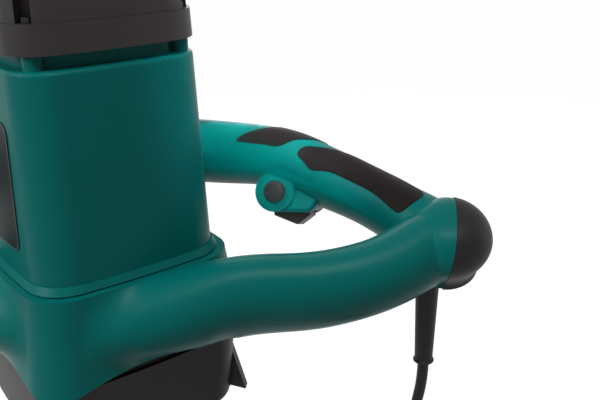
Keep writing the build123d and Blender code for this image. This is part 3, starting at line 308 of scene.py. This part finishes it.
FINISHES: dict[str, Finish] = {
    "teal_plastic": Finish("teal moulded plastic", linear(0, 104, 100), linear(1, 108, 104), (0.34, 0.44),
                           specular=0.1),
    "black_plastic": Finish("black moulded plastic", linear(34, 29, 30), linear(39, 34, 35), (0.42, 0.55),
                            scale=1100.0, bump=0.2, specular=0.3),
    "soft_grip": Finish("soft grip rubber", linear(17, 12, 12), linear(22, 16, 16), (0.52, 0.68), scale=900.0,
                        bump=0.35, specular=0.1),
    "black_rubber": Finish("black rubber", linear(20, 16, 16), linear(25, 21, 21), (0.46, 0.6), scale=1000.0,
                           bump=0.25, specular=0.2),
    "cast_aluminium": Finish("black coated casting", linear(20, 15, 15), linear(25, 20, 20), (0.45, 0.6),
                             scale=500.0, bump=0.5, specular=0.2),
    "steel": Finish("ground steel", linear(150, 151, 155), linear(172, 173, 176), (0.25, 0.4),
                    Texture.BRUSHED, 900.0, 40.0, 0.1, 1.0),
    "dark_steel": Finish("blackened steel", linear(40, 38, 38), linear(52, 50, 50), (0.35, 0.5),
                         Texture.BRUSHED, 900.0, 40.0, 0.1, 0.9),
    "copper": Finish("enamelled copper wire", linear(150, 82, 42), linear(176, 104, 58), (0.25, 0.4),
                     Texture.WOUND, 900.0, 60.0, 0.6, 0.8),
    "brass": Finish("drawn brass", linear(176, 144, 76), linear(196, 166, 98), (0.25, 0.38), Texture.BRUSHED,
                    1200.0, 40.0, 0.1, 1.0),
    "carbon": Finish("pressed carbon", linear(20, 20, 21), linear(34, 34, 35), (0.6, 0.75), scale=700.0,
                     bump=0.3),
    "label": Finish("bare label", linear(18, 19, 21), linear(22, 23, 25), (0.4, 0.46), scale=2500.0,
                    bump=0.03, specular=0.12),
    "label_rim": Finish("label rim", linear(70, 80, 80), linear(80, 90, 90), (0.4, 0.46), scale=2500.0,
                        bump=0.03, specular=0.12),
}


@dataclass
class Wardrobe:
    """The materials of all finishes, by slot."""

    materials: dict[str, bpy.types.Material]

    @classmethod
    def stock(cls) -> "Wardrobe":
        """Builds every finish once.

        Returns:
            The wardrobe.
        """
        groups = SurfaceGroups().build()
        return cls({slot: finish.material(groups) for slot, finish in FINISHES.items()})

    def dress(self, piece: bpy.types.Object, slot: str) -> None:
        """Puts one finish on a whole piece.

        Args:
            piece: The piece.
            slot: The finish's slot.
        """
        piece.data.materials.clear()
        piece.data.materials.append(self.materials[slot])

    def dress_nodes(self) -> None:
        """Puts each carried-over solid in the finish of its slot."""
        for part in frame["record"]["subparts"]:
            blackened = part["node"].endswith("_screws")
            self.dress(frame["nodes"][part["node"]], "dark_steel" if blackened else part["material_slot"])
            LOG.info("%s: %s", part["node"], part["material_slot"])


@dataclass
class PhotoCamera:
    """The camera at the photograph's view."""

    azimuth: float = math.radians(7.0)
    elevation: float = math.radians(20.966)
    roll: float = math.radians(-0.64)
    distance: float = 465.673 * MM
    target: Point = (126.479 * MM, 0.0, 183.344 * MM)
    focal_pixels: float = 786.96
    image_width: float = 600.0
    sensor: float = 36.0
    nearest: float = 10 * MM

    def build(self) -> bpy.types.Object:
        """Places the camera and makes it the scene's own.

        Returns:
            The camera.
        """
        ahead = Vector((math.sin(self.azimuth), -math.cos(self.azimuth), 0))
        back = ahead * math.cos(self.elevation) + Vector((0, 0, math.sin(self.elevation)))
        level = Vector((math.cos(self.azimuth), math.sin(self.azimuth), 0))
        upright = back.cross(level)
        right = level * math.cos(self.roll) + upright * math.sin(self.roll)
        up = upright * math.cos(self.roll) - level * math.sin(self.roll)
        lens = bpy.data.cameras.new("photo_camera")
        lens.sensor_fit = "HORIZONTAL"
        lens.sensor_width = self.sensor
        lens.lens = self.focal_pixels / self.image_width * self.sensor
        lens.clip_start = self.nearest
        camera = bpy.data.objects.new("photo_camera", lens)
        turn = Matrix((right, up, back)).transposed().to_4x4()
        camera.matrix_world = Matrix.Translation(Vector(self.target) + back * self.distance) @ turn
        bpy.context.scene.collection.objects.link(camera)
        bpy.context.scene.camera = camera
        return camera


@dataclass(frozen=True)
class Lamp:
    """A soft box: where it stands, what it faces, its size, its power and its spread."""

    name: str
    place: Point
    aim: Point
    width: float
    height: float
    power: float
    spread: float = math.pi


@dataclass
class Studio:
    """The pale floor, the white surround and the soft boxes."""

    floor_gap: float = 4 * MM
    floor_reach: float = 6.0
    floor_shade: float = 0.22
    floor_roughness: float = 0.9
    floor_glow: float = 0.9
    surround: float = 0.08
    lamps: tuple[Lamp, ...] = (
        Lamp("key_softbox", (-1.0, -0.85, 1.05), (0.03, 0.0, 0.18), 0.8, 0.8, 14.0),
        Lamp("top_softbox", (0.3, -0.45, 1.2), (0.14, 0.03, 0.18), 0.5, 0.4, 5.6),
        Lamp("rim_softbox", (1.2, 0.35, 0.5), (0.15, 0.02, 0.15), 0.5, 0.9, 0.8),
        Lamp("back_softbox", (-0.3, 1.5, 0.65), (0.0, 0.05, 0.18), 0.9, 0.9, 7.0),
        Lamp("grip_softbox", (0.36, -0.82, 0.94), (0.106, 0.09, 0.203), 0.1, 0.1, 0.09, math.radians(6)),
    )

    def build(self) -> None:
        """Builds the studio."""
        scene = bpy.context.scene
        scene.view_settings.view_transform = "Standard"
        self.white_world(scene)
        self.floor(scene)
        for lamp in self.lamps:
            self.softbox(scene, lamp)

    @staticmethod
    def seen(tree: bpy.types.ShaderNodeTree) -> bpy.types.NodeSocket:
        """Adds a mask of the rays that show the background, straight, mirrored or through glass.

        Args:
            tree: The node tree of the floor or the world.

        Returns:
            1 for such a ray and 0 for light on its way to the object.
        """
        path = tree.nodes.new("ShaderNodeLightPath")
        mask = path.outputs["Is Camera Ray"]
        for ray in ("Is Glossy Ray", "Is Transmission Ray"):
            most = tree.nodes.new("ShaderNodeMath")
            most.operation = "MAXIMUM"
            tree.links.new(mask, most.inputs[0])
            tree.links.new(path.outputs[ray], most.inputs[1])
            mask = most.outputs[0]
        return mask

    def white_world(self, scene: bpy.types.Scene) -> None:
        """Gives the world a white look to the eye and a plain level to the object.

        Args:
            scene: The scene.
        """
        world = bpy.data.worlds.new("white_surround")
        world.use_nodes = True
        tree = world.node_tree
        sky = tree.nodes["Background"]
        sky.inputs["Color"].default_value = WHITE
        level = tree.nodes.new("ShaderNodeMapRange")
        level.inputs["To Min"].default_value = self.surround
        level.inputs["To Max"].default_value = 1.0
        tree.links.new(self.seen(tree), level.inputs["Value"])
        tree.links.new(level.outputs["Result"], sky.inputs["Strength"])
        scene.world = world

    def floor(self, scene: bpy.types.Scene) -> None:
        """Lays the floor under the lowest point of the cord.

        Args:
            scene: The scene.
        """
        mesh = bmesh.new()
        bmesh.ops.create_grid(mesh, x_segments=1, y_segments=1, size=self.floor_reach)
        bmesh.ops.translate(mesh, vec=(0, 0, CAD_BOX[0][2] - self.floor_gap), verts=mesh.verts)
        data = bpy.data.meshes.new("floor")
        mesh.to_mesh(data)
        mesh.free()
        floor = bpy.data.objects.new("floor", data)
        scene.collection.objects.link(floor)
        paint = bpy.data.materials.new("pale floor")
        paint.use_nodes = True
        tree = paint.node_tree
        shader = tree.nodes["Principled BSDF"]
        shader.inputs["Base Color"].default_value = (*(self.floor_shade,) * 3, 1.0)
        shader.inputs["Roughness"].default_value = self.floor_roughness
        shader.inputs["Emission Color"].default_value = WHITE
        glow = tree.nodes.new("ShaderNodeMath")
        glow.operation = "MULTIPLY"
        glow.inputs[1].default_value = self.floor_glow
        tree.links.new(self.seen(tree), glow.inputs[0])
        tree.links.new(glow.outputs[0], shader.inputs["Emission Strength"])
        data.materials.append(paint)

    def softbox(self, scene: bpy.types.Scene, lamp: Lamp) -> None:
        """Hangs one soft box.

        Args:
            scene: The scene.
            lamp: The soft box's facts.
        """
        light = bpy.data.lights.new(lamp.name, "AREA")
        light.shape = "RECTANGLE"
        light.size, light.size_y = lamp.width, lamp.height
        light.energy = lamp.power
        light.spread = lamp.spread
        holder = bpy.data.objects.new(lamp.name, light)
        facing = Vector(lamp.aim) - Vector(lamp.place)
        turn = facing.to_track_quat("-Z", "Y").to_matrix().to_4x4()
        holder.matrix_world = Matrix.Translation(lamp.place) @ turn
        scene.collection.objects.link(holder)


@dataclass
class MainsCord:
    """The mains cord: a hanging lead and a coil wound in two layers, tied, with the plug at its end."""

    radius: float = 3.6 * MM
    turns: float = 7.12
    step: float = 8.0 * MM
    inner: float = 28.0 * MM
    tail: float = 38.0 * MM
    points_per_turn: int = 24
    steps: int = 4
    roundness: int = 3
    small: float = 1e-3
    length: float = 2.03
    route: tuple[Point, ...] = (
        (0.204, 0.011, 0.071), (0.204, 0.011, 0.056), (0.2006, 0.0108, 0.038), (0.1996, 0.009, 0.017),
        (0.1995, 0.002, -0.003), (0.1995, -0.011, -0.018))

    def coil_radius(self, turn: float) -> float:
        """The winding's radius.

        Args:
            turn: How many turns have been wound.

        Returns:
            The radius, in towards the middle of the winding and out again.
        """
        return self.inner + self.step * abs(turn - self.turns / 2)

    def coil_layer(self, turn: float) -> float:
        """How far the winding has climbed to its second layer.

        Args:
            turn: How many turns have been wound.

        Returns:
            The climb, along +X.
        """
        share = min(max((turn - self.turns / 2) * 2 + 0.5, 0.0), 1.0)
        return self.step * share * share * (3 - 2 * share)

    def coil_start(self) -> tuple[Vector, float]:
        """Lays the coil in line with the end of the lead.

        Returns:
            The coil's centre and its start angle.
        """
        last, end = Vector(self.route[-2]), Vector(self.route[-1])
        along = (end - last).normalized()
        outer = self.coil_radius(0.0)
        lean = math.atan2(self.step / (2 * math.pi), outer)
        angle = math.atan2(along.z, -along.y) + math.pi / 2 + lean
        start = end + along * (2 * self.radius)
        return start - Vector((0, -outer * math.cos(angle), outer * math.sin(angle))), angle

    def coil_point(self, turn: float) -> Vector:
        """A point of the winding's centre line.

        Args:
            turn: How many turns have been wound.

        Returns:
            The point.
        """
        centre, angle = self.coil_start()
        at, radius = angle - 2 * math.pi * turn, self.coil_radius(turn)
        return centre + Vector((self.coil_layer(turn), -radius * math.cos(at), radius * math.sin(at)))

    def coil_points(self) -> list[Vector]:
        """The coil's control points, from the end of the lead to the plug.

        Returns:
            The points.
        """
        count = round(self.turns * self.points_per_turn)
        points = [self.coil_point(self.turns * i / count) for i in range(count + 1)]
        heading = (points[-1] - self.coil_point(self.turns - self.small)).normalized()
        return points + [points[-1] + heading * self.tail / 2, points[-1] + heading * self.tail]

    def build(self, wardrobe: Wardrobe) -> bpy.types.Object:
        """Args:
            wardrobe: The materials.

        Returns:
            The cord.
        """
        points = [Vector(point) for point in self.route] + self.coil_points()
        data = bpy.data.curves.new("mains_cord", "CURVE")
        data.dimensions = "3D"
        data.resolution_u = self.steps
        data.bevel_depth = self.radius
        data.bevel_resolution = self.roundness
        data.use_fill_caps = True
        spline = data.splines.new("NURBS")
        spline.points.add(len(points) - 1)
        for control, point in zip(spline.points, points):
            control.co = (*point, 1.0)
        spline.order_u = 3
        spline.use_endpoint_u = True
        cord = bpy.data.objects.new("mains_cord", data)
        bpy.context.scene.collection.objects.link(cord)
        wardrobe.dress(cord, "black_rubber")
        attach(cord, MACHINE)
        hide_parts("cord_lead", "cord_coil")
        return cord


@dataclass
class LabelPlate:
    """The bare label on the housing's front left face."""

    half_width: float = 27 * MM
    low: float = 169 * MM
    high: float = 242 * MM
    corner: float = 7 * MM
    corner_steps: int = 6
    side_steps: int = 6
    outward: Vector = Vector((-1, -1, 0)).normalized()
    sideways: Vector = Vector((1, -1, 0)).normalized()
    reach: float = 200 * MM
    least_corner: float = 1 * MM
    sharp: float = math.radians(30)
    rings: tuple[tuple[float, float], ...] = (
        (0.0, -0.3), (0.0, 0.4), (0.3, 0.7), (1.3, 0.7), (2.0, 0.7), (7.0, 0.7), (14.0, 0.7), (21.0, 0.7))
    rim_ring: int = 3

    def outline(self, inset: float) -> list[tuple[float, float]]:
        """A rounded rectangle on the face, with points along its sides.

        Args:
            inset: How far it lies inside the label's edge.

        Returns:
            Pairs of the distance along the face and the height.
        """
        middle = (self.low + self.high) / 2
        wide, tall = self.half_width - inset, (self.high - self.low) / 2 - inset
        radius = max(self.corner - inset, self.least_corner)
        centres = ((1, 1), (-1, 1), (-1, -1), (1, -1))
        bends = []
        for quarter, (right, top) in enumerate(centres):
            for i in range(self.corner_steps + 1):
                turn = math.pi / 2 * (quarter + i / self.corner_steps)
                bends.append((right * (wide - radius) + radius * math.cos(turn),
                              middle + top * (tall - radius) + radius * math.sin(turn)))
        points = []
        for i, here in enumerate(bends):
            points.append(here)
            if i % (self.corner_steps + 1) == self.corner_steps:
                there = bends[(i + 1) % len(bends)]
                for j in range(1, self.side_steps):
                    share = j / self.side_steps
                    points.append(tuple(a + (b - a) * share for a, b in zip(here, there)))
        return points

    def on_housing(self, tree: BVHTree, spot: tuple[float, float], lift: float) -> Vector:
        """Puts a point of the label on the housing.

        Args:
            tree: The housing's surface.
            spot: The distance along the face and the height.
            lift: How far over the housing.

        Returns:
            The point.
        """
        start = self.outward * self.reach + self.sideways * spot[0] + Vector((0, 0, spot[1]))
        hit = tree.ray_cast(start, -self.outward)[0]
        return hit + self.outward * lift

    def build(self, wardrobe: Wardrobe) -> bpy.types.Object:
        """Makes the label.

        Args:
            wardrobe: The materials.

        Returns:
            The label.
        """
        housing = frame["nodes"]["motor_housing"].data
        tree = BVHTree.FromPolygons([vert.co for vert in housing.vertices],
                                    [face.vertices for face in housing.polygons])
        mesh = bmesh.new()
        earlier: list[bmesh.types.BMEdge] = []
        for ring, (inset, lift) in enumerate(self.rings):
            spots = self.outline(inset * MM)
            verts = [mesh.verts.new(self.on_housing(tree, spot, lift * MM)) for spot in spots]
            edges = [mesh.edges.new((a, b)) for a, b in zip(verts, verts[1:] + verts[:1])]
            if earlier:
                band = bmesh.ops.bridge_loops(mesh, edges=earlier + edges)["faces"]
                for face in band:
                    face.material_index = int(ring == self.rim_ring)
            earlier = edges
        bmesh.ops.contextual_create(mesh, geom=earlier)
        bmesh.ops.recalc_face_normals(mesh, faces=mesh.faces)
        if sum((face.normal for face in mesh.faces), Vector()).dot(self.outward) < 0:
            bmesh.ops.reverse_faces(mesh, faces=mesh.faces)
        data = bpy.data.meshes.new("label_plate")
        mesh.to_mesh(data)
        mesh.free()
        data.shade_smooth()
        data.set_sharp_from_angle(angle=self.sharp)
        label = bpy.data.objects.new("label_plate", data)
        bpy.context.scene.collection.objects.link(label)
        data.materials.append(wardrobe.materials["label"])
        data.materials.append(wardrobe.materials["label_rim"])
        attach(label, MACHINE)
        return label


@dataclass
class BlendedFrame:
    """The base and upper ring, with the valleys between base and bars run out softly as moulded."""

    reach: float = 17 * MM
    finest: float = 2.4 * MM
    growth: float = 0.15
    pull: float = 0.5
    weld: float = 0.002 * MM
    probes: tuple[float, ...] = (0.0, 0.25, 0.5, 0.75, 1.0)
    passes: tuple[tuple[float, int], ...] = ((1.0, 14), (0.8, 14), (0.6, 12), (0.4, 8))
    crease: float = math.radians(12)
    pinned: float = math.radians(28)
    sharp: float = math.radians(32)
    rounds: int = 7
    deck: float = 150 * MM
    span: float = 116 * MM
    rear: float = 40 * MM
    corner: float = 84 * MM
    normals: str = "plain_normal"

    def on_valley(self, edge: bmesh.types.BMEdge) -> bool:
        """Whether an edge lies in a valley between the base and a bar.

        Args:
            edge: The edge.

        Returns:
            True for a concave edge on the outside of the base.
        """
        if not edge.is_manifold or edge.calc_face_angle_signed() > -self.crease:
            return False
        spot = (edge.verts[0].co + edge.verts[1].co) / 2
        outside = abs(spot.x) + abs(spot.y) > self.corner
        return outside and abs(spot.x) < self.span and spot.y < self.rear and spot.z < self.deck

    def valley(self, mesh: bmesh.types.BMesh) -> KDTree:
        """Finds the valleys.

        Args:
            mesh: The frame's mesh.

        Returns:
            Points along them, ready for a search.
        """
        points = []
        for edge in mesh.edges:
            if self.on_valley(edge):
                steps = max(int(edge.calc_length() / self.finest), 1)
                first, last = edge.verts
                points += [first.co.lerp(last.co, i / steps) for i in range(steps + 1)]
        tree = KDTree(len(points))
        for i, point in enumerate(points):
            tree.insert(point, i)
        tree.balance()
        LOG.info("valley points: %d", len(points))
        return tree

    def refine(self, mesh: bmesh.types.BMesh, valley: KDTree) -> None:
        """Splits the long edges near the valleys.

        Args:
            mesh: The frame's mesh.
            valley: The valleys.
        """
        for _ in range(self.rounds):
            long_edges = []
            for edge in mesh.edges:
                length = edge.calc_length()
                if length < self.finest:
                    continue
                first, last = edge.verts
                near = min(valley.find(first.co.lerp(last.co, share))[2] for share in self.probes)
                if near < self.reach and length > self.finest + near * self.growth:
                    long_edges.append(edge)
            if not long_edges:
                break
            bmesh.ops.subdivide_edges(mesh, edges=long_edges, cuts=1)
            wide = [face for face in mesh.faces if len(face.verts) > 3]
            bmesh.ops.triangulate(mesh, faces=wide, quad_method="SHORT_EDGE", ngon_method="BEAUTY")

    def soften(self, mesh: bmesh.types.BMesh, valley: KDTree) -> set[int]:
        """Smooths the surface near the valleys, and most of all along them.

        Args:
            mesh: The frame's mesh.
            valley: The valleys.

        Returns:
            The indices of the points that moved.
        """
        mesh.normal_update()
        held = set()
        for edge in mesh.edges:
            if not edge.is_manifold or edge.calc_face_angle_signed() > self.pinned:
                held.update(edge.verts)
        gaps = {}
        for vert in mesh.verts:
            if vert not in held and vert.co.z < self.deck:
                gaps[vert] = valley.find(vert.co)[2]
        for share, count in self.passes:
            verts = [vert for vert, gap in gaps.items() if gap < self.reach * share]
            for _ in range(count):
                bmesh.ops.smooth_vert(mesh, verts=verts, factor=self.pull, use_axis_x=True, use_axis_y=True,
                                      use_axis_z=True)
        mesh.verts.index_update()
        return {vert.index for vert, gap in gaps.items() if gap < self.reach}

    def carry_normals(self, mesh: bmesh.types.BMesh, source: bpy.types.Mesh) -> None:
        """Notes the plain frame's normals on the mesh, so that they outlast its refining.

        Args:
            mesh: A copy of the plain frame.
            source: The plain frame.
        """
        layer = mesh.loops.layers.float_vector.new(self.normals)
        corners = (loop for face in mesh.faces for loop in face.loops)
        for loop, normal in zip(corners, source.corner_normals):
            loop[layer] = normal.vector

    def give_normals(self, data: bpy.types.Mesh, moved: set[int]) -> None:
        """Puts the noted normals back wherever the surface hasn't moved.

        Args:
            data: The blended frame.
            moved: The indices of the points that moved.
        """
        noted = [Vector(item.vector) for item in data.attributes[self.normals].data]
        data.normals_split_custom_set(
            [Vector() if loop.vertex_index in moved else noted[loop.index] for loop in data.loops])
        data.attributes.remove(data.attributes[self.normals])

    def build(self, wardrobe: Wardrobe) -> bpy.types.Object:
        """Makes the blended frame and puts it in the place of the plain one.

        Args:
            wardrobe: The materials.

        Returns:
            The blended frame.
        """
        mesh = bmesh.new()
        plain = frame["nodes"]["handle_frame"].data
        mesh.from_mesh(plain)
        self.carry_normals(mesh, plain)
        bmesh.ops.remove_doubles(mesh, verts=mesh.verts, dist=self.weld)
        valley = self.valley(mesh)
        self.refine(mesh, valley)
        moved = self.soften(mesh, valley)
        data = bpy.data.meshes.new("ring_frame")
        mesh.to_mesh(data)
        mesh.free()
        data.shade_smooth()
        data.set_sharp_from_angle(angle=self.sharp)
        self.give_normals(data, moved)
        blended = bpy.data.objects.new("ring_frame", data)
        bpy.context.scene.collection.objects.link(blended)
        wardrobe.dress(blended, "teal_plastic")
        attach(blended, MACHINE)
        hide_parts("handle_frame")
        LOG.info("frame faces: %d", len(data.polygons))
        return blended


@dataclass(frozen=True)
class Spring:
    """A spring of the switch, with its joint, axis, seat and pressed length."""

    node: str
    joint: str
    axis: Point
    seat: Point
    pressed: float

    def press(self) -> None:
        """Gives the spring a mesh of its own."""
        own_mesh(frame["nodes"][self.node])


SPRINGS: tuple[Spring, ...] = (
    Spring("trigger_spring", "trigger_pull", axis=(0.184432, 0.336036, 0.923615),
           seat=(0.121763, 0.065942, 0.160147), pressed=0.36),
    Spring("lock_spring", "lock_press", axis=(-0.194872, -0.908576, 0.369478),
           seat=(0.103962, 0.061361, 0.164936), pressed=0.34),
)


def main() -> None:
    """Builds every sub-assembly."""
    logging.basicConfig(level=logging.INFO, format="%(name)s %(message)s")
    wardrobe = Wardrobe.stock()
    wardrobe.dress_nodes()
    PhotoCamera().build()
    Studio().build()
    for piece in (MainsCord().build(wardrobe), LabelPlate().build(wardrobe), BlendedFrame().build(wardrobe)):
        LOG.info("made %s", piece.name)
    for spring in SPRINGS:
        spring.press()


if __name__ == "__main__":
    main()
